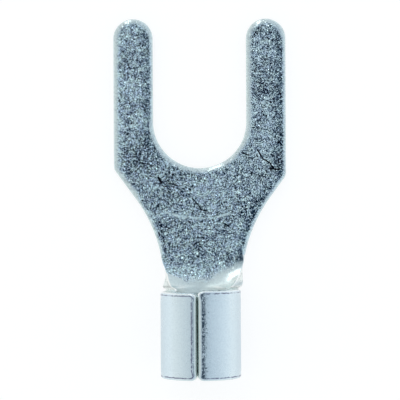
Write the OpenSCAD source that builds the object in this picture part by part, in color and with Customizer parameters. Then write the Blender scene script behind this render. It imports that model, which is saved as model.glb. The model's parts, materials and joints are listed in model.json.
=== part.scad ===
// Fork terminal for a 6 mm stud and 4 to 6 mm2 wire, one stamped and rolled sheet.
// The tongue lies on z = 0 and the slot's round end is centred on the origin.
// The prongs point along +Y, the wire barrel lies behind along -Y with its seam on top.

/* [Sheet] */
// Thickness of the sheet
sheet_t = 0.9; // [0.8:0.05:1.0]
// Radius of the rounded sheet edges
edge_r = 0.34; // [0.2:0.02:0.38]

/* [Fork] */
// Width of the stud slot
slot_w = 6.5; // [6.2:0.1:7]
// Width over both prongs
fork_w = 12; // [11.6:0.1:13]
// Length from the slot's round end centre to the prong tips
prong_len = 7.15; // [6:0.05:9]

/* [Tongue] */
// Length from the slot's round end centre to the shoulder corners
shoulder_drop = 3.55; // [3.4:0.05:5]
// Angle of the sloping shoulders from the long axis
shoulder_angle = 36; // [32:1:40]
// Radius of the flare that runs into the neck
flare_r = 10; // [8:0.5:11]
// Sideways offset of the shoulders and flare from the slot, as punched
flare_shift = 0.18; // [0:0.02:0.3]

/* [Neck] */
// Length of the even neck between the flare and the barrel
neck_len = 0.35; // [0.2:0.05:1]
// How much narrower the sheet is in the middle of the neck than the flare leaves it
neck_waist = 0.14; // [0.06:0.02:0.2]
// Radius of the neck's crisp edges
neck_edge_r = 0.1; // [0.06:0.02:0.2]
// Length over which the flat sheet rolls up into the barrel
curl_len = 2.15; // [1.8:0.05:2.5]
// How late the roll gathers towards the barrel
curl_power = 3.8; // [3:0.1:4.5]
// Rise of the barrel's underside above the tongue's
barrel_lift = 0.35; // [0.1:0.05:0.5]
// Share of the roll's length over which the floor turns upward, straight from there on
lift_bend = 0.6; // [0.4:0.05:0.9]

/* [Barrel] */
// Bore that takes the stripped wire
bore_d = 3.7; // [3.4:0.1:4]
// Length of the barrel
barrel_len = 6; // [5:0.25:7]
// Radius of the barrel's end edges
rim_r = 0.22; // [0.1:0.02:0.3]
// Gap between the two butted edges
seam_gap = 0.1; // [0.08:0.02:0.2]
// Turn of the seam away from the top of the barrel
seam_roll = 5; // [0:1:10]

/* [Hidden] */
$fn = 72;
tin = [0.76, 0.79, 0.82];

// Fork
slot_r = slot_w / 2;
prong_w = (fork_w - slot_w) / 2;
tip_r = prong_w / 2;
prong_x = slot_r + tip_r;
tip_y = prong_len - tip_r;

// Barrel, whose outside also sets the width of the neck
bore_r = bore_d / 2;
barrel_r = bore_r + sheet_t;
axis_z = barrel_r + barrel_lift;

// Shoulders and the flare that they run into
flare_x = barrel_r + flare_r;
slope_x = flare_x - flare_r * cos(shoulder_angle);
slope_y = -shoulder_drop - (fork_w / 2 - slope_x) / tan(shoulder_angle);
flare_y = slope_y - flare_r * sin(shoulder_angle);

// Neck, which rolls until its edges lie as far round the barrel as the sheet is wide
barrel_y = flare_y - neck_len;
curl_y = barrel_y + curl_len;
end_angle = barrel_r / (bore_r + sheet_t / 2) * 180 / PI;
flat_angle = 0.01;
// Its sideways offset fades late, and its edges are crisp from this share of the roll on
shift_power = 10;
crisp_share = 0.4;
// Stations along it, lanes across it and degrees between the lanes of a rounded edge
curl_steps = 20;
lane_steps = 24;
corner_step = 22.5;

// Barrel, whose front rim is rounded from this many degrees past the neck's edges
rim_clear = 8;

// Cutters reach this far past the faces that they trim, and crease where they meet them
lip = 0.03;
crease = 0.002;
// The neck runs into the tongue and the barrel, this far along and this far under their faces
weld_len = 0.3;
weld_inset = 0.01;

// Waste of a rounded corner whose material lies towards +X and +Y
module round_off(r) {
    difference() {
        translate([-lip, -lip])
            square(r + lip);
        translate([r, r])
            circle(r + crease);
    }
}

// Waste of both corners of a sheet edge, with X into the sheet and Y up
module edge_waste() {
    round_off(edge_r);
    translate([0, sheet_t])
        mirror([0, 1])
            round_off(edge_r);
}

// Rounds a straight edge that has the sheet on the left of its path
module roll_line(from, to) {
    path = to - from;
    translate(from)
        rotate(atan2(path.y, path.x))
            rotate([90, 0, 90])
                linear_extrude(norm(path))
                    edge_waste();
}

// Rounds an arc edge with the sheet outside it, from one angle to another
module roll_hollow(centre, r, from, to) {
    translate(centre)
        rotate(from)
            rotate_extrude(angle = to - from)
                translate([r, 0])
                    edge_waste();
}

// Rounds an arc edge with the sheet inside it, from one angle to another
module roll_nose(centre, r, from, to) {
    translate(centre)
        rotate(from)
            rotate_extrude(angle = to - from)
                translate([r, 0])
                    mirror([1, 0])
                        edge_waste();
}

// Flat outline of the fork, down to where the neck begins to roll up
module tongue_outline() {
    top_x = slope_x - slope_y * tan(shoulder_angle);
    for (side = [-1, 1]) {
        translate([side * prong_x, tip_y])
            circle(tip_r);
        translate([side * prong_x - tip_r, 0])
            square([prong_w, tip_y]);
    }
    difference() {
        intersection() {
            translate([-fork_w / 2, curl_y])
                square([fork_w, -curl_y]);
            translate([flare_shift, 0])
                polygon([
                    [top_x, 0],
                    [-top_x, 0],
                    [-slope_x, slope_y],
                    [-slope_x, curl_y],
                    [slope_x, curl_y],
                    [slope_x, slope_y],
                ]);
        }
        circle(slot_r);
        for (side = [-1, 1])
            translate([flare_shift + side * flare_x, flare_y])
                circle(flare_r);
    }
}

// Flat tongue with all its edges rounded on both faces
module tongue() {
    shoulder_run = [sin(shoulder_angle), cos(shoulder_angle)] * fork_w / 2;
    slope_right = [flare_shift + slope_x, slope_y];
    slope_left = [flare_shift - slope_x, slope_y];
    difference() {
        linear_extrude(sheet_t)
            tongue_outline();
        roll_hollow([0, 0], slot_r, 180, 360);
        roll_line([slot_r, tip_y], [slot_r, 0]);
        roll_line([-slot_r, 0], [-slot_r, tip_y]);
        roll_nose([prong_x, tip_y], tip_r, 0, 180);
        roll_nose([-prong_x, tip_y], tip_r, 0, 180);
        roll_line([fork_w / 2, slope_y], [fork_w / 2, tip_y]);
        roll_line([-fork_w / 2, tip_y], [-fork_w / 2, slope_y]);
        roll_line(slope_right, slope_right + shoulder_run);
        roll_line(slope_left + [-shoulder_run.x, shoulder_run.y], slope_left);
        roll_hollow([flare_shift + flare_x, flare_y], flare_r, 180 - shoulder_angle, 180);
        roll_hollow([flare_shift - flare_x, flare_y], flare_r, 0, shoulder_angle);
    }
}

// Half width of the neck's sheet at a place and a share of its roll
function neck_half(y, s) =
    let (flared = barrel_r + flare_r - sqrt(flare_r * flare_r - pow(max(0, y - flare_y), 2)))
    flared - neck_waist * pow(4 * s * (1 - s), 2) - weld_inset;

// Half angle of the rolled sheet, from flat to the barrel
function curl_angle(s) = max(flat_angle, end_angle * pow(s, curl_power));

// Rise of the neck's floor, a parabola that runs on as a straight slope
function floor_rise(s) =
    let (climb = s < lift_bend ? s * s / (2 * lift_bend) : s - lift_bend / 2)
    barrel_lift * climb / (1 - lift_bend / 2);

// Point of the rolled sheet at a share of its half width and a height in its thickness
function sheet_point(share, height, angle, half) =
    let (r = half / (angle * PI / 180) + sheet_t / 2)
    [(r - height) * sin(share * angle), r - (r - height) * cos(share * angle)];

// Places across the sheet from its right edge to its left, each with its edge rounding
function lanes(half, r) =
    let (turns = [0 : corner_step : 90])
    let (corner = [for (a = turns) [1 - r * (1 - cos(a)) / half, r * (1 - sin(a))]])
    let (inner = 1 - r / half)
    concat(
        corner,
        [for (i = [1 : lane_steps - 1]) [inner * (1 - 2 * i / lane_steps), 0]],
        [for (i = [len(corner) - 1 : -1 : 0]) [-corner[i][0], corner[i][1]]]
    );

// Closed section of the neck, over the top from right to left and back underneath
function neck_ring(y, s) =
    let (angle = curl_angle(s))
    let (half = neck_half(y, s))
    let (shift = flare_shift * (1 - pow(s, shift_power)))
    let (lift = floor_rise(s) + weld_inset)
    let (row = lanes(half, edge_r + (neck_edge_r - edge_r) * min(1, s / crisp_share)))
    let (top = [for (p = row) sheet_point(p[0], sheet_t - 2 * weld_inset - p[1], angle, half)])
    let (under = [for (p = row) sheet_point(p[0], p[1], angle, half)])
    concat(
        [for (p = top) [shift + p[0], y, lift + p[1]]],
        [for (i = [len(under) - 1 : -1 : 0]) [shift + under[i][0], y, lift + under[i][1]]]
    );

// Neck that rolls up from the flat tongue into the lower part of the barrel
module neck() {
    stations = [for (i = [0 : curl_steps]) [curl_y - curl_len * i / curl_steps, i / curl_steps]];
    places = concat(
        [[curl_y + weld_len, 0]],
        stations,
        [[barrel_y - weld_len, 1]]
    );
    rings = [for (p = places) neck_ring(p[0], p[1])];
    n = len(rings[0]);
    last = (len(rings) - 1) * n;
    walls = [
        for (j = [0 : len(rings) - 2])
        for (i = [0 : n - 1])
        let (k = (i + 1) % n)
        each [
            [j * n + i, (j + 1) * n + k, j * n + k],
            [j * n + i, (j + 1) * n + i, (j + 1) * n + k],
        ]
    ];
    front = [for (i = [0 : n / 2 - 2]) [i, i + 1, n - 2 - i, n - 1 - i]];
    back = [for (i = [0 : n / 2 - 2]) [last + i, last + n - 1 - i, last + n - 2 - i, last + i + 1]];
    polyhedron([for (r = rings) each r], concat(walls, front, back));
}

// Rolled wire barrel, with its front edge on the XY plane and the seam towards +Y
module barrel() {
    rim_from = end_angle - 90 + rim_clear;
    difference() {
        rotate_extrude()
            difference() {
                translate([bore_r, 0])
                    square([sheet_t, barrel_len]);
                translate([barrel_r, barrel_len])
                    rotate(180)
                        round_off(rim_r);
                translate([bore_r, barrel_len])
                    mirror([0, 1])
                        round_off(rim_r);
            }
        rotate(rim_from)
            rotate_extrude(angle = 180 - 2 * rim_from) {
                translate([barrel_r, 0])
                    mirror([1, 0])
                        round_off(rim_r);
                translate([bore_r, 0])
                    round_off(rim_r);
            }
        translate([0, 0, -lip])
            linear_extrude(barrel_len + 2 * lip)
                rotate(seam_roll)
                    seam_waste();
    }
}

// Section of the seam, a fine gap between two rounded edges
module seam_waste() {
    translate([-seam_gap / 2, 0])
        square([seam_gap, barrel_r + lip]);
    for (side = [0, 1])
        mirror([side, 0])
            translate([seam_gap / 2, barrel_r])
                mirror([0, 1])
                    round_off(edge_r);
}

module fork_terminal() {
    color(tin) {
        tongue();
        neck();
        translate([0, barrel_y, axis_z])
            rotate([90, 0, 0])
                barrel();
    }
}

fork_terminal();
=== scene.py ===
import json
import math

import bpy
import numpy as np
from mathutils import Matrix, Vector, noise
from mathutils.geometry import delaunay_2d_cdt


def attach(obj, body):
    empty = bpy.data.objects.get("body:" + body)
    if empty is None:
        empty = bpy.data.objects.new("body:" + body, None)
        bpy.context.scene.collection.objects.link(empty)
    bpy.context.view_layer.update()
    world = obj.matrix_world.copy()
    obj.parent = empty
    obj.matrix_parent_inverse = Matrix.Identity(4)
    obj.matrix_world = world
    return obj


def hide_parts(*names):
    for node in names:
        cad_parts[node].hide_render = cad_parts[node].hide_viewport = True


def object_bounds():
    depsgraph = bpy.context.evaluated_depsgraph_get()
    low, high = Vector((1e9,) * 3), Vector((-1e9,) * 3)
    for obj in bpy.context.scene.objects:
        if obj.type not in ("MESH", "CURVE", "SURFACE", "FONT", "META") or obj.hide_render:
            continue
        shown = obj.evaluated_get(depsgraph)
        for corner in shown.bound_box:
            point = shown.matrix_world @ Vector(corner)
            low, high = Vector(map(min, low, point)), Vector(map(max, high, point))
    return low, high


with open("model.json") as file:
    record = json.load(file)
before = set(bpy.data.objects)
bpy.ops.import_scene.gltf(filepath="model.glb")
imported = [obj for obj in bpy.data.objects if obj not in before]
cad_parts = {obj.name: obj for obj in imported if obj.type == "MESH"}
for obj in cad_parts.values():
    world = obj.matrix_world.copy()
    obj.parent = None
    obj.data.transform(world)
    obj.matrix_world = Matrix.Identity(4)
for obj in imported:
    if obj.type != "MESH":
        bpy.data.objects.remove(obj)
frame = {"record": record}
cadLow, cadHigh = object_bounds()
mounts = {mount["name"]: mount for mount in frame["record"]["mounts"]}
mm = 0.001
print("frame loaded")


# Studio: a white tent with the dark lens opening overhead, and a pale floor
studio = {
    "cameraHeight": 126.0,  # mm above the tongue
    "halfFrame": 13.92,  # mm of the tongue from the middle to the edge of the picture
    "aim": (-0.01, -5.48),  # mm, what lies in the middle of the picture
    "roll": 0.3,  # degrees that the terminal lies turned in the picture
    "sensor": 36.0,
    "clipShare": 0.01,  # nearest that the camera sees, as a share of its height
    "tentLeft": (0.94, 0.95, 0.94),
    "tentRight": (0.90, 0.95, 1.0),
    "sideBlend": (130.0, 50.0),  # degrees from the right between which one side turns into the other
    "tentHigh": (0.59, 0.645, 0.70),  # beside the opening, as a share of the brightness low down
    "tentHighTo": 90.0,  # degrees from the top where the tent has its full brightness
    "lensColor": (0.016, 0.04, 0.07),
    "lensFrom": (0.075, 0.0, 1.0),
    "lensInner": 6.8,  # degrees from its middle, still dark
    "lensOuter": 11.8,  # degrees from its middle, all tent
    "keyFrom": (-0.187, 0.575, 0.797),  # tall bright strip of the tent, beyond the prongs
    "keyFlat": (1.0, 1.0, 0.1),  # makes it tall
    "keyInner": 3.5,
    "keyOuter": 8.5,
    "keyColor": (1.5, 1.5, 1.45),
    "floorSize": 900.0,
    "floorColor": (0.35, 0.35, 0.35),
    "floorRough": 0.9,
    "floorGlow": 0.75,
    "floorGap": 0.01,
}


def link(tree, value, socket):
    if isinstance(value, bpy.types.NodeSocket):
        tree.links.new(value, socket)
    else:
        socket.default_value = value


def mathNode(tree, operation, *values):
    node = tree.nodes.new("ShaderNodeMath")
    node.operation = operation
    for value, socket in zip(values, node.inputs):
        link(tree, value, socket)
    return node.outputs[0]


def vectorNode(tree, operation, *values):
    node = tree.nodes.new("ShaderNodeVectorMath")
    node.operation = operation
    for value, socket in zip(values, node.inputs):
        link(tree, value, socket)
    return node.outputs["Value" if operation in ("DOT_PRODUCT", "LENGTH", "DISTANCE") else "Vector"]


def rampNode(tree, value, low, high, toLow=0.0, toHigh=1.0, shape="SMOOTHSTEP"):
    node = tree.nodes.new("ShaderNodeMapRange")
    node.interpolation_type = shape
    names = ("Value", "From Min", "From Max", "To Min", "To Max")
    for given, name in zip((value, low, high, toLow, toHigh), names):
        link(tree, given, node.inputs[name])
    return node.outputs["Result"]


def mixNode(tree, factor, a, b, blend="MIX"):
    node = tree.nodes.new("ShaderNodeMix")
    node.data_type = "RGBA"
    node.blend_type = blend
    for given, socket in zip((factor, a, b), (node.inputs[0], node.inputs[6], node.inputs[7])):
        link(tree, given if isinstance(given, (float, bpy.types.NodeSocket)) else (*given, 1.0), socket)
    return node.outputs[2]


def makeCamera():
    top = mounts["tongue_top"]["pos_m"][2]
    height = studio["cameraHeight"] * mm
    data = bpy.data.cameras.new("photoCamera")
    data.sensor_width = studio["sensor"]
    data.lens = studio["sensor"] / 2 * studio["cameraHeight"] / studio["halfFrame"]
    data.clip_start = height * studio["clipShare"]
    camera = bpy.data.objects.new("photoCamera", data)
    camera.location = (studio["aim"][0] * mm, studio["aim"][1] * mm, top + height)
    camera.rotation_euler = (0, 0, -math.radians(studio["roll"]))
    bpy.context.collection.objects.link(camera)
    bpy.context.scene.camera = camera


def makeTent():
    world = bpy.data.worlds.new("lightTent")
    world.use_nodes = True
    tree = world.node_tree
    tree.nodes.clear()
    direction = tree.nodes.new("ShaderNodeTexCoord").outputs["Generated"]

    def angleTo(target, flat=(1.0, 1.0, 1.0)):
        seen = vectorNode(tree, "NORMALIZE", vectorNode(tree, "MULTIPLY", direction, flat))
        cosine = vectorNode(tree, "DOT_PRODUCT", seen, (Vector(target) * Vector(flat)).normalized())
        return mathNode(tree, "DEGREES", mathNode(tree, "ARCCOSINE", cosine))

    wall = rampNode(tree, angleTo(studio["lensFrom"]), studio["lensInner"], studio["lensOuter"])
    keyAngle = angleTo(studio["keyFrom"], studio["keyFlat"])
    key = rampNode(tree, keyAngle, studio["keyOuter"], studio["keyInner"])
    low = rampNode(tree, angleTo((0, 0, 1)), studio["lensOuter"], studio["tentHighTo"], shape="LINEAR")
    side = rampNode(tree, angleTo((1, 0, 0)), *studio["sideBlend"])
    light = mixNode(tree, side, studio["tentLeft"], studio["tentRight"])
    light = mixNode(tree, low, mixNode(tree, 1.0, light, studio["tentHigh"], "MULTIPLY"), light)
    light = mixNode(tree, wall, studio["lensColor"], light)
    light = mixNode(tree, key, light, mixNode(tree, 1.0, light, studio["keyColor"], "ADD"))
    background = tree.nodes.new("ShaderNodeBackground")
    output = tree.nodes.new("ShaderNodeOutputWorld")
    link(tree, light, background.inputs["Color"])
    tree.links.new(background.outputs[0], output.inputs["Surface"])
    bpy.context.scene.world = world
    bpy.context.scene.view_settings.view_transform = "Standard"


def makeFloor():
    half = studio["floorSize"] / 2 * mm
    z = cadLow.z - studio["floorGap"] * mm
    data = bpy.data.meshes.new("floor")
    corners = [(-half, -half, z), (half, -half, z), (half, half, z), (-half, half, z)]
    data.from_pydata(corners, [], [(0, 1, 2, 3)])
    paper = bpy.data.materials.new("palePaper")
    paper.use_nodes = True
    shader = paper.node_tree.nodes["Principled BSDF"]
    shader.inputs["Base Color"].default_value = (*studio["floorColor"], 1)
    shader.inputs["Roughness"].default_value = studio["floorRough"]
    shader.inputs["Specular IOR Level"].default_value = 0.0
    shader.inputs["Emission Color"].default_value = (1, 1, 1, 1)
    shader.inputs["Emission Strength"].default_value = studio["floorGlow"]
    data.materials.append(paper)
    floor = bpy.data.objects.new("floor", data)
    bpy.context.collection.objects.link(floor)


makeCamera()
makeTent()
makeFloor()
print("studio ready")


# The sheet, in millimetres and degrees: a flat blank with rounded edges, rolled up into the wire barrel
sheet = {
    "shoulderDrop": 3.55,
    "shoulderAngle": 36.0,
    "shoulderCorner": 0.7,
    "flareRadius": 10.0,
    "flareShift": 0.18,  # shoulders and flare sit this far to the right of the slot
    "neckLength": 0.3,
    "neckShift": 0.05,  # the neck lies this much further to the right
    "neckWaist": 0.14,  # how much narrower the blank is before the barrel
    "waistFrom": 0.15,  # shares of the roll's length over which it narrows
    "waistTo": 0.6,
    "notchRadius": 0.2,  # where the neck's edge turns into the wing's front
    "wingLag": 0.16,  # the left wing's front lies this far behind the right one's
    "curlLength": 2.2,
    "curlPower": 3.8,
    "shiftPower": 20,
    "curlSkew": 0.07,  # the right side rolls up this share of its distance from the middle earlier
    "skewPower": 6,  # until the barrel is near
    "flatMiddle": 0.75,  # how much more the sides bend than the middle, until the barrel is near
    "flatPower": 30,
    "sideBend": 5,
    "liftBend": 0.6,  # share of the roll's length over which the floor turns upward, straight from there on
    "floorTail": 0.4,  # the floor goes on climbing this far into the barrel
    "seamGap": 0.04,
    "seamRoll": 5.4,
    "wingCorner": 0.38,
    # Width and depth of the rounded edge on the top side and on the underside, which is the barrel's outside
    "forkEdge": (0.44, 0.18, 0.10, 0.10),
    "rightEdge": (0.28, 0.16, 0.10, 0.10),  # those of the fork that face right
    "flareEdge": (0.28, 0.17, 0.10, 0.10),
    "neckEdge": (0.09, 0.09, 0.09, 0.09),
    "rimEdge": (0.12, 0.12, 0.16, 0.16),
    "seamEdge": (0.10, 0.10, 0.27, 0.30),
    "rubWidth": 0.6,  # how far in the grain is rubbed down along the edges that face right
    "edgeBlend": 10,  # rounds of softening where one kind of edge runs into the next
    "edgeStray": 0.12,  # share by which the edge rounding wanders
    "edgeStrayLength": 1.4,
    "straySeed": 3.0,
    "step": 0.1,  # between the outline's points
    "neckFiner": 1.6,  # times as many along the neck
    "gridStep": 0.15,
    "gridClear": 0.7,  # share of it that the fill keeps from the outline
    "weld": 1e-7,
    "probe": 0.005,  # how far to each side the rolled sheet's directions are measured
    "support": 0.06,  # flat row beside each rounded edge
    "cornerRows": 6,
    "bendSteps": 48,
}

# What the frame gives
sheetT = (mounts["tongue_top"]["pos_m"][2] - mounts["tongue_underside"]["pos_m"][2]) / mm
slotR = mounts["stud_seat"]["dims"]["r_mm"]
boreR = mounts["wire_barrel"]["dims"]["r_mm"]
forkHalf = cadHigh.x / mm
prongEnd = cadHigh.y / mm
barrelEnd = cadLow.y / mm
barrelR = boreR + sheetT
barrelLift = mounts["wire_barrel"]["pos_m"][2] / mm - barrelR
tipR = (forkHalf - slotR) / 2
tipX = slotR + tipR
tipY = prongEnd - tipR

# Where the shoulders, the flare, the roll and the barrel begin
shoulder = math.radians(sheet["shoulderAngle"])
flareX = barrelR + sheet["flareRadius"]
slopeX = flareX - sheet["flareRadius"] * math.cos(shoulder)
slopeY = -sheet["shoulderDrop"] - (forkHalf - slopeX) / math.tan(shoulder)
flareY = slopeY - sheet["flareRadius"] * math.sin(shoulder)
barrelY = flareY - sheet["neckLength"]
curlY = barrelY + sheet["curlLength"]
midR = barrelR - sheetT / 2
seamHalf = sheet["seamGap"] / 2 / barrelR
seamRight = midR * (math.pi + math.radians(sheet["seamRoll"]) - seamHalf)
seamLeft = midR * (math.pi - math.radians(sheet["seamRoll"]) - seamHalf)


def curlShare(v):
    return np.clip((curlY - v) / sheet["curlLength"], 0, 1)


# Rise of the sheet along the neck, which it has made by the given end
def floorRise(v, end):
    share = np.clip((curlY - v) / (curlY - end), 0, 1)
    bend = sheet["liftBend"]
    climb = np.where(share < bend, share ** 2 / (2 * bend), share - bend / 2)
    return barrelLift * climb / (1 - bend / 2)


# Half width of the blank along the neck, and how far its middle has moved sideways
def neckBlank(v):
    share = curlShare(v)
    rise = np.clip(v - flareY, 0, sheet["flareRadius"])
    between = (4 * share * (1 - share)) ** 2
    narrowed = np.clip((share - sheet["waistFrom"]) / (sheet["waistTo"] - sheet["waistFrom"]), 0, 1)
    narrowed = narrowed ** 2 * (3 - 2 * narrowed)
    width = flareX - np.sqrt(sheet["flareRadius"] ** 2 - rise ** 2) - sheet["neckWaist"] * narrowed
    shift = sheet["flareShift"] * (1 - share ** sheet["shiftPower"]) + sheet["neckShift"] * between
    return width, shift


# Turn of the rolled section at a share of its half width, and the way across and up to there in half widths
def bentRun(angle, flatness, share):
    turnAt = lambda part: angle * ((1 - flatness) * part + flatness * part ** sheet["sideBend"])
    steps = (np.arange(sheet["bendSteps"]) + 0.5) / sheet["bendSteps"]
    turns = np.array([turnAt(share * step) for step in steps])
    return turnAt(share), share * np.cos(turns).mean(0), share * np.sin(turns).mean(0)


# Takes points of the flat blank, at a height in its thickness, to where the roll puts them
def rollUp(u, v, height):
    width, shift = neckBlank(v)
    skew = sheet["curlSkew"] * (1 - curlShare(v) ** sheet["skewPower"])
    along = v - skew * np.clip(u, -barrelR, barrelR)
    curl = curlShare(along)
    flatness = sheet["flatMiddle"] * (1 - curl ** sheet["flatPower"])
    turn, across, up = bentRun(width / midR * curl ** sheet["curlPower"], flatness, (u - shift) / width)
    bottom = np.cos(np.minimum(np.abs(turn), math.pi / 2)) ** 2
    lift = bottom * floorRise(v, barrelY - sheet["floorTail"]) + (1 - bottom) * floorRise(v, barrelY)
    x = shift + width * across - (height - sheetT / 2) * np.sin(turn)
    z = lift + sheetT / 2 + width * up + (height - sheetT / 2) * np.cos(turn)
    return np.column_stack((x, v, z))


# Directions along the rolled sheet's U and V, and out of its top, at points of the blank
def rolledAxes(u, v):
    reach = sheet["probe"]
    across = rollUp(u + reach, v, sheetT) - rollUp(u - reach, v, sheetT)
    along = rollUp(u, v + reach, sheetT) - rollUp(u, v - reach, sheetT)
    upward = np.cross(across, along)
    return [axis / np.linalg.norm(axis, axis=1)[:, None] for axis in (across, along, upward)]


def lineRun(start, end):
    start, end = np.array(start), np.array(end)
    count = max(2, round(np.linalg.norm(end - start) / sheet["step"]))
    share = np.linspace(0, 1, count + 1)[:-1, None]
    return start + (end - start) * share


def arcRun(centre, radius, fromAngle, toAngle):
    turn = np.radians([fromAngle, toAngle])
    count = max(4, round(abs(turn[1] - turn[0]) * radius / sheet["step"]))
    angle = np.linspace(*turn, count + 1)[:-1]
    return np.array(centre) + radius * np.column_stack((np.cos(angle), np.sin(angle)))


def neckRun(side, start, end):
    count = round(sheet["curlLength"] / sheet["step"] * sheet["neckFiner"])
    v = np.linspace(start, end, count + 1)[:-1]
    width, shift = neckBlank(v)
    return np.column_stack((shift + side * width, v))


# The blank's outline, anticlockwise from the right shoulder, with the edge of each stretch
def blankOutline():
    tangent = math.tan(shoulder)
    shift = sheet["flareShift"]
    bend = sheet["shoulderCorner"]
    bendX = forkHalf - bend
    bendRise = bend * math.tan(shoulder / 2)
    rightBendY = slopeY + (forkHalf - shift - slopeX) / tangent + bendRise
    leftBendY = slopeY + (forkHalf + shift - slopeX) / tangent + bendRise
    bendOut = (bend * math.cos(shoulder), bend * math.sin(shoulder))
    rightSlope = (shift + slopeX, slopeY)
    leftSlope = (shift - slopeX, slopeY)
    flareR = sheet["flareRadius"]
    curlTurn = math.degrees(math.asin((curlY - flareY) / flareR))
    corner = sheet["wingCorner"]
    notch = sheet["notchRadius"]
    leftFront, front, rear = barrelY - sheet["wingLag"], barrelY, barrelEnd
    width, middle = neckBlank(np.array((leftFront, front)) + notch)
    leftWing, rightWing = middle + (width + notch) * (-1, 1)  # the notches run into the wings' fronts here
    kinds = ("fork", "right", "flare", "neck", "rim", "seam")
    fork, right, flare, neck, rim, seam = (sheet[kind + "Edge"] for kind in kinds)
    stretches = [
        (right, lineRun((forkHalf, rightBendY), (forkHalf, tipY))),
        (fork, arcRun((tipX, tipY), tipR, 0, 180)),
        (fork, lineRun((slotR, tipY), (slotR, 0))),
        (fork, arcRun((0, 0), slotR, 0, -180)),
        (right, lineRun((-slotR, 0), (-slotR, tipY))),
        (fork, arcRun((-tipX, tipY), tipR, 0, 180)),
        (fork, lineRun((-forkHalf, tipY), (-forkHalf, leftBendY))),
        (fork, arcRun((-bendX, leftBendY), bend, 180, 180 + sheet["shoulderAngle"])),
        (fork, lineRun((-bendX - bendOut[0], leftBendY - bendOut[1]), leftSlope)),
        (flare, arcRun((shift - flareX, flareY), flareR, sheet["shoulderAngle"], curlTurn)),
        (neck, neckRun(-1, curlY, leftFront + notch)),
        (rim, arcRun((leftWing, leftFront + notch), notch, 0, -90)),
        (rim, lineRun((leftWing, leftFront), (corner - seamLeft, leftFront))),
        (rim, arcRun((corner - seamLeft, leftFront - corner), corner, 90, 180)),
        (seam, lineRun((-seamLeft, leftFront - corner), (-seamLeft, rear + corner))),
        (rim, arcRun((corner - seamLeft, rear + corner), corner, 180, 270)),
        (rim, lineRun((corner - seamLeft, rear), (seamRight - corner, rear))),
        (rim, arcRun((seamRight - corner, rear + corner), corner, 270, 360)),
        (seam, lineRun((seamRight, rear + corner), (seamRight, front - corner))),
        (rim, arcRun((seamRight - corner, front - corner), corner, 0, 90)),
        (rim, lineRun((seamRight - corner, front), (rightWing, front))),
        (rim, arcRun((rightWing, front + notch), notch, -90, -180)),
        (neck, neckRun(1, front + notch, curlY)),
        (right, arcRun((shift + flareX, flareY), flareR, 180 - curlTurn, 180 - sheet["shoulderAngle"])),
        (right, lineRun(rightSlope, (bendX + bendOut[0], rightBendY - bendOut[1]))),
        (right, arcRun((bendX, rightBendY), bend, -sheet["shoulderAngle"], 0)),
    ]
    points = np.vstack([run for edge, run in stretches])
    edges = np.vstack([np.tile(edge, (len(run), 1)) for edge, run in stretches])
    return points, edges


# Inward direction at each outline point, longer at the corners so that an inset keeps its width
def inwardOf(points):
    after = np.roll(points, -1, 0) - points
    after /= np.linalg.norm(after, axis=1)[:, None]
    before = np.roll(after, 1, 0)
    left = lambda way: np.column_stack((-way[:, 1], way[:, 0]))
    inward = left(after) + left(before)
    inward /= np.linalg.norm(inward, axis=1)[:, None]
    return inward / np.einsum("ij,ij->i", inward, left(after))[:, None]


def softened(values, rounds):
    for turn in range(rounds):
        values = (np.roll(values, 1, 0) + 2 * values + np.roll(values, -1, 0)) / 4
    return values


def strayAlong(points, length, seed):
    return np.array([noise.noise(Vector((u / length, v / length, seed))) for u, v in points])


def insideOutline(points, outline):
    inside = np.zeros(len(points), bool)
    for (ax, ay), (bx, by) in zip(outline, np.roll(outline, -1, 0)):
        if ay != by:
            crosses = (ay > points[:, 1]) != (by > points[:, 1])
            inside ^= crosses & (points[:, 0] < ax + (points[:, 1] - ay) * (bx - ax) / (by - ay))
    return inside


# Staggered points that fill the outline, and the triangles between them
def fillOutline(outline):
    step = sheet["gridStep"]
    low, high = outline.min(0), outline.max(0)
    rows = np.arange(low[1], high[1], step * math.sqrt(3) / 2)
    grid = [(low[0] + (column + row % 2 / 2) * step, v)
            for row, v in enumerate(rows)
            for column in range(int((high[0] - low[0]) / step) + 1)]
    grid = np.array(grid)
    grid = grid[insideOutline(grid, outline)]
    clear = np.full(len(grid), np.inf)
    nearest = np.zeros(len(grid), int)
    for i, point in enumerate(outline):
        away = np.hypot(*(grid - point).T)
        nearest[away < clear] = i
        clear = np.minimum(clear, away)
    apart = clear > step * sheet["gridClear"]
    grid = grid[apart]
    points = [Vector(p) for p in np.vstack((outline, grid))]
    rim = [(i, (i + 1) % len(outline)) for i in range(len(outline))]
    made = delaunay_2d_cdt(points, rim, [], 1, sheet["weld"])  # 1 keeps the triangles inside
    if len(made[0]) != len(points):
        raise RuntimeError("the blank's fill merged or added points")
    return grid, clear[apart], nearest[apart], np.array(made[2])


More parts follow.
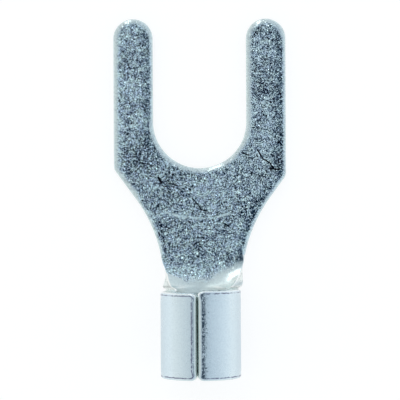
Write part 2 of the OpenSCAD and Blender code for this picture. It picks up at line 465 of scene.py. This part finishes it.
def makeSheet():
    outline, edges = blankOutline()
    inward = inwardOf(outline)
    stray = strayAlong(outline, sheet["edgeStrayLength"], sheet["straySeed"])
    stray *= sheet["edgeStray"] * (1 - curlShare(outline[:, 1]))
    edges = softened(edges, sheet["edgeBlend"]) * (1 + stray)[:, None]
    around = len(outline)

    # Rows round the edge, from the underside's support row to the top side's
    turns = np.radians(np.linspace(90, 0, sheet["cornerRows"] + 1))
    rows = [(False, turns[0], sheet["support"])] + [(False, turn, 0.0) for turn in turns]
    rows += [(True, turn, 0.0) for turn in turns[::-1]] + [(True, turns[0], sheet["support"])]
    facing = np.clip(-inward[:, 0], 0, 1)
    blank, heights, past, outs, ups, rubbed = [], [], [], [], [], []
    for onTop, turn, extra in rows:
        width, depth = edges[:, :2].T if onTop else edges[:, 2:].T
        inset = width * (1 - math.cos(turn)) + extra
        sunk = depth * (1 - math.sin(turn))
        blank.append(outline + inward * inset[:, None])
        heights.append(sheetT - sunk if onTop else sunk)
        past.append(inset - width)
        outs.append(-inward * (math.cos(turn) / width)[:, None])
        ups.append((1 if onTop else -1) * math.sin(turn) / depth)
        rubbed.append(facing)

    # Faces: the rows round the edge, then the underside and the top filled in
    i = np.arange(around)
    j = (i + 1) % around
    faces, sheared, inside = [], [], []
    for row in range(len(rows) - 1):
        low, high = row * around, (row + 1) * around
        faces += np.column_stack((low + i, low + j, high + j, high + i)).tolist()
        sheared += [rows[row][0] != rows[row + 1][0]] * around
        inside += [rows[row][0]] * around
    count = len(rows) * around
    for onTop, start in ((False, 0), (True, (len(rows) - 1) * around)):
        loop = blank[len(rows) - 1 if onTop else 0]
        grid, clear, nearest, fill = fillOutline(loop)
        fill = np.where(fill < around, fill + start, fill - around + count)
        faces += (fill if onTop else fill[:, ::-1]).tolist()
        sheared += [False] * len(fill)
        inside += [onTop] * len(fill)
        blank.append(grid)
        heights.append(np.full(len(grid), sheetT if onTop else 0.0))
        past.append(clear + sheet["support"])
        outs.append(np.zeros_like(grid))
        rubbed.append(facing[nearest] * np.exp(-(clear / sheet["rubWidth"]) ** 2))
        ups.append(np.full(len(grid), 1.0 if onTop else -1.0))
        count += len(grid)

    blank, outs = np.vstack(blank), np.vstack(outs)
    heights, past, ups = np.concatenate(heights), np.concatenate(past), np.concatenate(ups)
    points = rollUp(blank[:, 0], blank[:, 1], heights)
    across, along, upward = rolledAxes(*blank.T)
    normals = across * outs[:, :1] + along * outs[:, 1:] + upward * ups[:, None]
    normals /= np.linalg.norm(normals, axis=1)[:, None]
    data = bpy.data.meshes.new("terminalSheet")
    data.from_pydata((points * mm).tolist(), [], faces)
    data.polygons.foreach_set("use_smooth", np.ones(len(faces), bool))
    data.normals_split_custom_set_from_vertices(normals.tolist())
    painted = {"pastEdge": past, "level": np.abs(upward[:, 2]), "rubbed": np.concatenate(rubbed)}
    for name, values in painted.items():
        data.attributes.new(name, "FLOAT", "POINT").data.foreach_set("value", values.astype(np.float32))
    piece = bpy.data.objects.new("terminalSheet", data)
    bpy.context.collection.objects.link(piece)
    print("sheet made:", len(points), "points,", len(faces), "faces")
    return piece, np.array(sheared), np.array(inside)


def newGroup(name, inputs, outputs):
    tree = bpy.data.node_groups.new(name, "ShaderNodeTree")
    for way, sockets in (("INPUT", inputs), ("OUTPUT", outputs)):
        for label, kind in sockets.items():
            tree.interface.new_socket(label, in_out=way, socket_type="NodeSocket" + kind)
    return tree, tree.nodes.new("NodeGroupInput").outputs, tree.nodes.new("NodeGroupOutput").inputs


def placeGroup(tree, group, **values):
    node = tree.nodes.new("ShaderNodeGroup")
    node.node_tree = group
    for name, value in values.items():
        link(tree, value, node.inputs[name])
    return node.outputs


def timesNode(tree, *values):
    made = values[0]
    for value in values[1:]:
        made = mathNode(tree, "MULTIPLY", made, value)
    return made


def scaleNode(tree, vector, scale):
    scaled = vectorNode(tree, "SCALE", vector)
    link(tree, scale, scaled.node.inputs["Scale"])
    return scaled


def noiseNode(tree, vector, scale, detail, rough=0.5, distortion=0.0):
    node = tree.nodes.new("ShaderNodeTexNoise")
    names = ("Vector", "Scale", "Detail", "Roughness", "Distortion")
    for given, name in zip((vector, scale, detail, rough, distortion), names):
        link(tree, given, node.inputs[name])
    return node.outputs["Fac"]


# Noise and ramps over places in metres, given in millimetres
def mmNoise(tree, position, scale, *more):
    return noiseNode(tree, position, scale / mm, *more)


def mmRamp(tree, value, ends):
    return rampNode(tree, value, *(end * mm for end in ends))


# Matte tin: fine crystals that lean every way, and dark pits that gather between slow clouds
tinGrain = {
    "worm": (0.50, 1.5, 0.55, 1.5),  # noise scale for each crystal, detail, roughness and distortion
    "patch": (0.12, 2.0),
    "cloud": (0.035, 2.0),
    "patchRange": (0.35, 0.65),
    "cloudRange": (0.3, 0.7),
    "leanPower": 4.0,
    "patchLean": (0.85, 1.15),
    "patchThins": 0.1,  # how much the patches and the clouds thin out the pits
    "cloudThins": 0.24,
    "thinBase": 0.17,
    "pitRange": (0.485, 0.445),
}


def makeTinGrain():
    tree, given, out = newGroup(
        "tinGrain",
        {"Position": "Vector", "PerMm": "Float", "Lean": "Float", "Pits": "Float"},
        {"Tone": "Float", "Normal": "Vector", "Patch": "Float", "Cloud": "Float"},
    )
    place = scaleNode(tree, given["Position"], mathNode(tree, "MULTIPLY", given["PerMm"], 1 / mm))
    worm, patch, cloud = (noiseNode(tree, place, *tinGrain[kind]) for kind in ("worm", "patch", "cloud"))

    # Each crystal leans its own way, most of them little and a few of them far, more so in some patches
    crystal = tree.nodes.new("ShaderNodeTexVoronoi")
    link(tree, place, crystal.inputs["Vector"])
    crystal.inputs["Scale"].default_value = 1.0
    way = vectorNode(tree, "SUBTRACT", crystal.outputs["Color"], (0.5, 0.5, 0.5))
    far = mathNode(tree, "POWER", vectorNode(tree, "LENGTH", way), tinGrain["leanPower"])
    patchLean = rampNode(tree, patch, *tinGrain["patchRange"], *tinGrain["patchLean"])
    lean = scaleNode(tree, way, timesNode(tree, far, given["Lean"], patchLean))
    normal = vectorNode(tree, "ADD", tree.nodes.new("ShaderNodeNewGeometry").outputs["Normal"], lean)
    link(tree, vectorNode(tree, "NORMALIZE", normal), out["Normal"])

    # There are fewer pits where the crystals lean far, and in the clouds
    thinned = mathNode(tree, "SUBTRACT", worm, tinGrain["thinBase"])
    thinned = mathNode(tree, "MULTIPLY_ADD", patch, tinGrain["patchThins"], thinned)
    thinned = mathNode(tree, "MULTIPLY_ADD", cloud, tinGrain["cloudThins"], thinned)
    pit = timesNode(tree, rampNode(tree, thinned, *tinGrain["pitRange"]), given["Pits"])
    link(tree, mathNode(tree, "SUBTRACT", 1.0, pit), out["Tone"])
    link(tree, rampNode(tree, patch, *tinGrain["patchRange"]), out["Patch"])
    link(tree, cloud, out["Cloud"])
    return tree


# A scratch from one place to another on the sheet, ragged along its sides; places and width in millimetres
scratchLine = {
    "ragged": (9.0, 2.0),  # noise scale for each millimetre, and detail
    "outer": 0.65,  # shares of the width where the scratch ends and where it is whole
    "inner": 0.35,
}


def makeScratchLine():
    tree, given, out = newGroup(
        "scratchLine",
        {"Position": "Vector", "From": "Vector", "To": "Vector", "Width": "Float"},
        {"Mask": "Float"},
    )
    flat = vectorNode(tree, "MULTIPLY", given["Position"], (1 / mm, 1 / mm, 0.0))
    ragged = mathNode(tree, "SUBTRACT", noiseNode(tree, flat, *scratchLine["ragged"]), 0.5)
    run = vectorNode(tree, "SUBTRACT", given["To"], given["From"])
    along = vectorNode(tree, "SUBTRACT", flat, given["From"])
    reached = vectorNode(tree, "DOT_PRODUCT", along, run)
    share = mathNode(tree, "DIVIDE", reached, vectorNode(tree, "DOT_PRODUCT", run, run))
    share.node.use_clamp = True
    away = vectorNode(tree, "DISTANCE", along, scaleNode(tree, run, share))
    away = mathNode(tree, "MULTIPLY_ADD", ragged, given["Width"], away)
    outer, inner = (timesNode(tree, given["Width"], scratchLine[end]) for end in ("outer", "inner"))
    link(tree, rampNode(tree, away, outer, inner), out["Mask"])
    return tree


def attributeNode(tree, name):
    node = tree.nodes.new("ShaderNodeAttribute")
    node.attribute_name = name
    return node.outputs["Fac"]


def splitPlace(tree, position):
    node = tree.nodes.new("ShaderNodeSeparateXYZ")
    link(tree, position, node.inputs[0])
    return node.outputs


def startTin(name):
    material = bpy.data.materials.new(name)
    material.use_nodes = True
    tree = material.node_tree
    shader = tree.nodes["Principled BSDF"]
    shader.inputs["Metallic"].default_value = 1.0
    return material, tree, shader, tree.nodes.new("ShaderNodeTexCoord").outputs["Object"]


def finishTin(tree, shader, finish, grain, color, rougher=0.0):
    link(tree, color, shader.inputs["Base Color"])
    rough = rampNode(tree, grain["Cloud"], *tinGrain["cloudRange"], finish["roughLow"], finish["roughHigh"])
    link(tree, mathNode(tree, "ADD", rough, rougher), shader.inputs["Roughness"])
    link(tree, grain["Normal"], shader.inputs["Normal"])


# Finish of the flat tongue and the scoop behind it; the marks are (from, to, width) in millimetres
tongueFinish = {
    "perMm": 19.0,
    "pitColor": (0.008, 0.018, 0.045),
    "blueTin": (0.70, 0.87, 1.0),  # where the pits crowd together
    "tinColor": (0.77, 0.97, 1.0),
    "rolledColor": (0.72, 0.81, 0.80),
    # painted highlight: the roll's colour turns nearly white where it stands up
    "standingWallHighlightColor": (0.95, 0.98, 0.95),  # where the roll stands up
    "standingWallHighlight": (0.85, 0.55),  # cosines of the tilt between which one turns into the other
    "roughLow": 0.08,
    "roughHigh": 0.14,
    "roughRolled": 0.30,  # this much rougher where the sheet is rolled
    "polished": (1.4, 2.1),  # but the roll is polished on its right, which begins between these places
    "polishEnd": (-11.4, -11.0),  # and ends between these
    "polish": 0.8,
    "lean": 6.0,
    "rubbedLean": 0.35,  # share of the lean where the grain is rubbed down
    "burnished": (0.963, 0.991),  # cosines of the tilt at which the grain has gone, and starts to go
    "burnishSkew": 0.009,  # the grain goes at less tilt on the right, by this for each millimetre
    "burnishStray": 0.03,
    "ragged": (4.0, 4.0, 0.7),  # noise scale for each millimetre, detail and roughness
    "flatFrom": 0.1,  # the grain is whole from this far before the roll
    "grainEnd": (-11.5, -10.4),  # and fades out between these places, however level the sheet lies
    "grainEndStray": 0.9,
    "rolledGrain": 0.1,  # share of the grain that is left where the sheet is rolled
    "edgeGrain": 0.2,  # and on the rounded edges
    "edgeFade": (-0.30, 0.10),  # millimetres past the edge's rounding
    "cutEdgeHighlight": (0.03, -0.04),
    "cutEdgeHighlightColor": (0.98, 1.0, 0.98),  # painted highlight, a bright line where the roll meets its cut edge
    "ringRadius": 6.75,
    "ringWidth": 0.18,
    "ringRough": 0.35,
    "ringFrom": (-6.0, -6.4),  # only behind here
    "ringNoise": (1.6, 3.0),
    "ringBroken": (0.38, 0.58),
    "ringStrength": 0.7,
    "marksAbove": (0.3, 0.6),  # heights that keep marks and ring off the underside
    "markColor": (0.008, 0.012, 0.02),
    "darkStrength": 1.0,
    "darkMarks": [
        ((4.01, -2.01), (4.35, -2.59), 0.11),
        ((4.35, -2.59), (4.88, -2.95), 0.10),
        ((4.88, -2.95), (5.08, -3.26), 0.12),
        ((4.81, -3.32), (5.54, -3.37), 0.12),
        ((2.91, -2.20), (3.41, -2.37), 0.09),
        ((3.54, -3.57), (4.57, -3.92), 0.06),
        ((-0.50, -5.40), (0.02, -6.05), 0.07),
        ((-0.08, -6.11), (0.48, -6.25), 0.09),
        ((1.78, -7.18), (1.99, -7.36), 0.10),
        ((-2.89, -3.92), (-2.70, -4.26), 0.17),
        ((-2.09, -4.32), (-1.56, -4.48), 0.09),
        ((-4.23, -2.86), (-3.52, -2.99), 0.08),
        ((-3.42, -4.78), (-3.00, -5.15), 0.06),
        ((-1.92, -3.70), (-1.86, -3.72), 0.14),
    ],
    "lightStrength": 0.6,
    "lightMarks": [
        ((-3.69, -4.50), (-3.07, -5.08), 0.07),
        ((-0.75, -6.62), (0.25, -6.72), 0.09),
    ],
}


def makeTongueTin(grainGroup, scratchGroup):
    finish = tongueFinish
    material, tree, shader, position = startTin("tongueTin")
    x, y, z = splitPlace(tree, position)
    cosine, past, rubbed = (attributeNode(tree, name) for name in ("level", "pastEdge", "rubbed"))

    # Rolling has burnished the grain wherever the sheet no longer lies level, and so have the die's edges
    ragged = mathNode(tree, "SUBTRACT", mmNoise(tree, position, *finish["ragged"]), 0.5)
    strayed = mathNode(tree, "MULTIPLY_ADD", ragged, finish["burnishStray"], cosine)
    strayed = mathNode(tree, "MULTIPLY_ADD", x, -finish["burnishSkew"] / mm, strayed)
    level = rampNode(tree, strayed, *finish["burnished"])
    level = mathNode(tree, "MAXIMUM", level, mmRamp(tree, y, (curlY, curlY + finish["flatFrom"])))
    behind = mathNode(tree, "MULTIPLY_ADD", ragged, finish["grainEndStray"] * mm, y)
    level = mathNode(tree, "MINIMUM", level, mmRamp(tree, behind, finish["grainEnd"]))
    inner = rampNode(tree, past, *finish["edgeFade"])
    kept = timesNode(tree, rampNode(tree, level, 0.0, 1.0, finish["rolledGrain"], 1.0),
                     rampNode(tree, inner, 0.0, 1.0, finish["edgeGrain"], 1.0))
    lean = timesNode(tree, kept, rampNode(tree, rubbed, 0.0, 1.0, 1.0, finish["rubbedLean"]), finish["lean"])
    grain = placeGroup(tree, grainGroup, Position=position, PerMm=finish["perMm"], Pits=kept, Lean=lean)
    # Painted highlight: nearly white where the roll stands up, laid over the burnished tin's own colour
    standingWallHighlight = rampNode(tree, cosine, *finish["standingWallHighlight"])
    rolledColor = mixNode(tree, standingWallHighlight, finish["rolledColor"], finish["standingWallHighlightColor"])
    color = mixNode(tree, grain["Patch"], finish["blueTin"], finish["tinColor"])
    color = mixNode(tree, kept, rolledColor, color)
    color = mixNode(tree, grain["Tone"], finish["pitColor"], color)
    # Painted highlight: a near-white line along the rolled neck's cut edge
    cutEdgeHighlight = timesNode(tree, rampNode(tree, past, *finish["cutEdgeHighlight"]), mathNode(tree, "SUBTRACT", 1.0, level))
    color = mixNode(tree, cutEdgeHighlight, color, finish["cutEdgeHighlightColor"])

    # Handling marks
    onTop = mmRamp(tree, z, finish["marksAbove"])
    for kind, target in (("dark", finish["markColor"]), ("light", finish["tinColor"])):
        for start, end, width in finish[kind + "Marks"]:
            mark = placeGroup(tree, scratchGroup, Position=position, Width=width,
                              From=(*start, 0), To=(*end, 0))
            shown = timesNode(tree, mark["Mask"], onTop, finish[kind + "Strength"])
            color = mixNode(tree, shown, color, target)

    # A worn ring round the stud
    flat = vectorNode(tree, "MULTIPLY", position, (1 / mm, 1 / mm, 0.0))
    away = mathNode(tree, "SUBTRACT", vectorNode(tree, "LENGTH", flat), finish["ringRadius"])
    ring = rampNode(tree, mathNode(tree, "ABSOLUTE", away), finish["ringWidth"], 0.0)
    gaps = noiseNode(tree, flat, *finish["ringNoise"])
    broken = rampNode(tree, gaps, *finish["ringBroken"], 0.0, finish["ringStrength"])
    ring = timesNode(tree, ring, broken, mmRamp(tree, y, finish["ringFrom"]), onTop)
    color = mixNode(tree, ring, color, finish["tinColor"])

    # The roll is rougher than the tongue, but for its polished right side
    polished = timesNode(tree, mmRamp(tree, x, finish["polished"]), mmRamp(tree, y, finish["polishEnd"]),
                         finish["polish"])
    rolled = rampNode(tree, level, 1.0, 0.0, 0.0, finish["roughRolled"])
    rolled = timesNode(tree, rolled, mathNode(tree, "SUBTRACT", 1.0, polished))
    rougher = mathNode(tree, "MULTIPLY_ADD", ring, finish["ringRough"], rolled)
    finishTin(tree, shader, finish, grain, color, rougher)
    return material


edgeFinish = {
    "perMm": 9.0,
    "lean": 1.2,
    "pits": 0.5,
    "streak": (1.0, 1.0, 0.15),  # shear streaks run across the sheet's thickness
    "pitColor": (0.48, 0.53, 0.52),
    "tinColor": (0.82, 0.88, 0.86),
    "roughLow": 0.26,
    "roughHigh": 0.40,
}


def makeEdgeTin(grainGroup):
    finish = edgeFinish
    material, tree, shader, position = startTin("edgeTin")
    streaks = vectorNode(tree, "MULTIPLY", position, finish["streak"])
    grain = placeGroup(tree, grainGroup, Position=streaks, PerMm=finish["perMm"], Lean=finish["lean"],
                       Pits=finish["pits"])
    color = mixNode(tree, grain["Tone"], finish["pitColor"], finish["tinColor"])
    finishTin(tree, shader, finish, grain, color)
    return material


barrelFinish = {
    "perMm": 14.0,
    "lean": 0.8,
    "pits": 0.16,
    "pitColor": (0.45, 0.53, 0.60),
    # painted shade: darker low on the barrel's flanks
    "lowSideShadeColor": (0.59, 0.70, 0.755),
    "tinColor": (0.72, 0.835, 0.885),
    "lowSideShade": (3.6, 5.4),  # heights between which one turns into the other
    "edgeColor": (0.66, 0.74, 0.72),  # along the seam
    "rimHighlightColor": (0.95, 0.97, 0.96),  # painted highlight along the front
    "rim": (0.50, 0.25),  # millimetres behind the front between which one turns into the other
    "edgeFade": (-0.20, -0.02),
    "edgeSmooth": 0.14,  # the surface is this much smoother beside its edges
    "smooth": (0.1, 0.6),  # millimetres from them over which this fades
    # painted dark reflection along the rounded edges
    "darkReflectionColor": (0.14, 0.14, 0.24),
    "linePlace": 0.03,
    "lineStray": 0.10,
    "lineNoise": (5.0, 3.0),
    "lineWidth": 0.07,
    "brokenNoise": (2.6, 4.0, 0.65),
    "broken": (0.32, 0.55, 0.25, 1.0),
    "wideLine": ((-0.25, -0.15), (0.50, 0.30)),  # the line is wider and paler right of the seam
    "wideWidth": 0.19,
    "wideStrength": 0.15,
    "roughLow": 0.26,
    "roughHigh": 0.34,
}


def makeBarrelTin(grainGroup):
    finish = barrelFinish
    material, tree, shader, position = startTin("barrelTin")
    x, y, z = splitPlace(tree, position)
    past = attributeNode(tree, "pastEdge")
    grain = placeGroup(tree, grainGroup, Position=position, PerMm=finish["perMm"], Lean=finish["lean"],
                       Pits=finish["pits"])
    # Painted shade: the barrel is darker low on its flanks and lighter over its top
    color = mixNode(tree, mmRamp(tree, z, finish["lowSideShade"]), finish["lowSideShadeColor"], finish["tinColor"])
    color = mixNode(tree, grain["Tone"], finish["pitColor"], color)
    # Painted highlight: the rounded front rim is nearly white; the seam's rounded edges keep their duller
    # colour
    front = mmRamp(tree, y, [barrelY - behind for behind in finish["rim"]])
    edgeColor = mixNode(tree, front, finish["edgeColor"], finish["rimHighlightColor"])
    color = mixNode(tree, rampNode(tree, past, *finish["edgeFade"]), edgeColor, color)

    # Painted dark reflection: an uneven dark line just behind the rounded edges, where their rounding meets
    # the flat
    stray = mathNode(tree, "SUBTRACT", mmNoise(tree, position, *finish["lineNoise"]), 0.5)
    place = mathNode(tree, "MULTIPLY_ADD", stray, finish["lineStray"], finish["linePlace"])
    away = mathNode(tree, "ABSOLUTE", mathNode(tree, "SUBTRACT", past, place))
    broken = rampNode(tree, mmNoise(tree, position, *finish["brokenNoise"]), *finish["broken"])
    wide = timesNode(tree, *(mmRamp(tree, x, ends) for ends in finish["wideLine"]))
    width = rampNode(tree, wide, 0.0, 1.0, finish["lineWidth"], finish["wideWidth"])
    line = rampNode(tree, away, timesNode(tree, broken, width), 0.0)
    line = timesNode(tree, line, broken, rampNode(tree, wide, 0.0, 1.0, 1.0, finish["wideStrength"]))
    color = mixNode(tree, line, color, finish["darkReflectionColor"])
    rougher = rampNode(tree, past, *finish["smooth"], -finish["edgeSmooth"], 0.0)
    finishTin(tree, shader, finish, grain, color, rougher)
    return material


def paintSheet(piece, sheared, inside):
    grain, scratch = makeTinGrain(), makeScratchLine()
    for material in (makeTongueTin(grain, scratch), makeEdgeTin(grain), makeBarrelTin(grain)):
        piece.data.materials.append(material)
    behind = np.array([face.center.y < barrelY * mm for face in piece.data.polygons])
    finishes = np.where(sheared, 1, np.where(behind & ~inside, 2, 0))
    piece.data.polygons.foreach_set("material_index", finishes.astype(np.int32))


terminal, shearedFaces, insideFaces = makeSheet()
paintSheet(terminal, shearedFaces, insideFaces)
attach(terminal, "root")
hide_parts("fork_terminal")
print("terminal painted")
